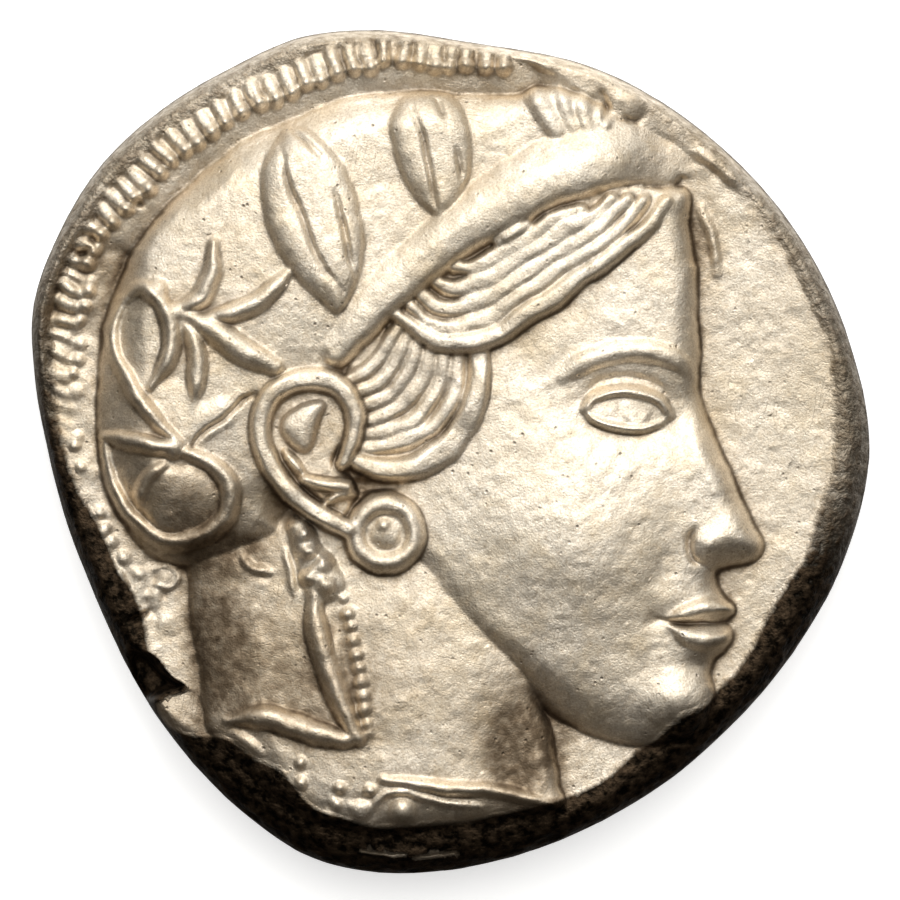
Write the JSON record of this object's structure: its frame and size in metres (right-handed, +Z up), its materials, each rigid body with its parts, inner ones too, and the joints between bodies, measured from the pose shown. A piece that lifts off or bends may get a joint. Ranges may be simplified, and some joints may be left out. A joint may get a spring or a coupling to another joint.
{
  "type": "ancient silver coin",
  "caption": "Thick struck silver coin, irregular round flan, helmeted female head in high relief facing right; reverse with a square die mark and an owl.",
  "frame": {"origin": "on the plane the coin lies on, under the middle of its bounding box", "axes": "+Z up out of the obverse, +Y towards the top of the head, +X the way the head faces"},
  "size_m": [0.0248, 0.0249, 0.0052],
  "materials": {
    "silver": "struck and worn silver, warm satin shine, brown toning in the recesses and along the edge"
  },
  "bodies": {
    "root": {"coin": "silver"}
  },
  "joints": []
}
